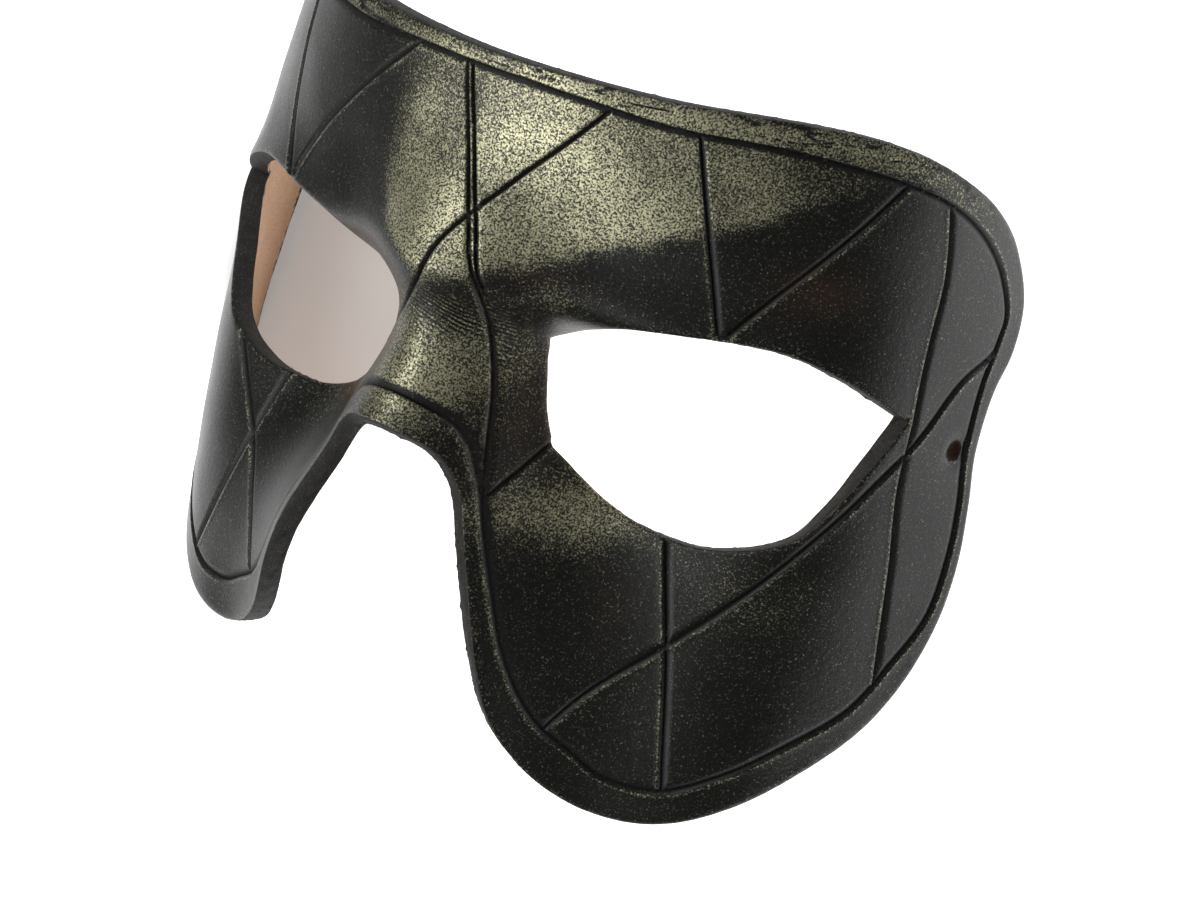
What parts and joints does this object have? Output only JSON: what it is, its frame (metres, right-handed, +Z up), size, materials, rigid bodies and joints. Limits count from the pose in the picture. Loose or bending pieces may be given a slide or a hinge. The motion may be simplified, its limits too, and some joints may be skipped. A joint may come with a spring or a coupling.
{
  "type": "leather half mask",
  "caption": "Formed leather half mask with almond eye openings, a nose arch between cheek lobes, tooled border and lattice lines, and punched holes for a tie.",
  "frame": {"origin": "middle of the underside of the bounding box, on the surface that the mask lies on", "axes": "+X to the viewer's right across the face, +Y towards the forehead edge, +Z up out of the face as the mask lies on its rim"},
  "size_m": [0.138, 0.1126, 0.0646],
  "materials": {
    "black_leather": "black-dyed grain rubbed with pale gold, satin; natural tan flesh side"
  },
  "bodies": {
    "root": {"leather_mask": "black_leather"}
  },
  "joints": []
}
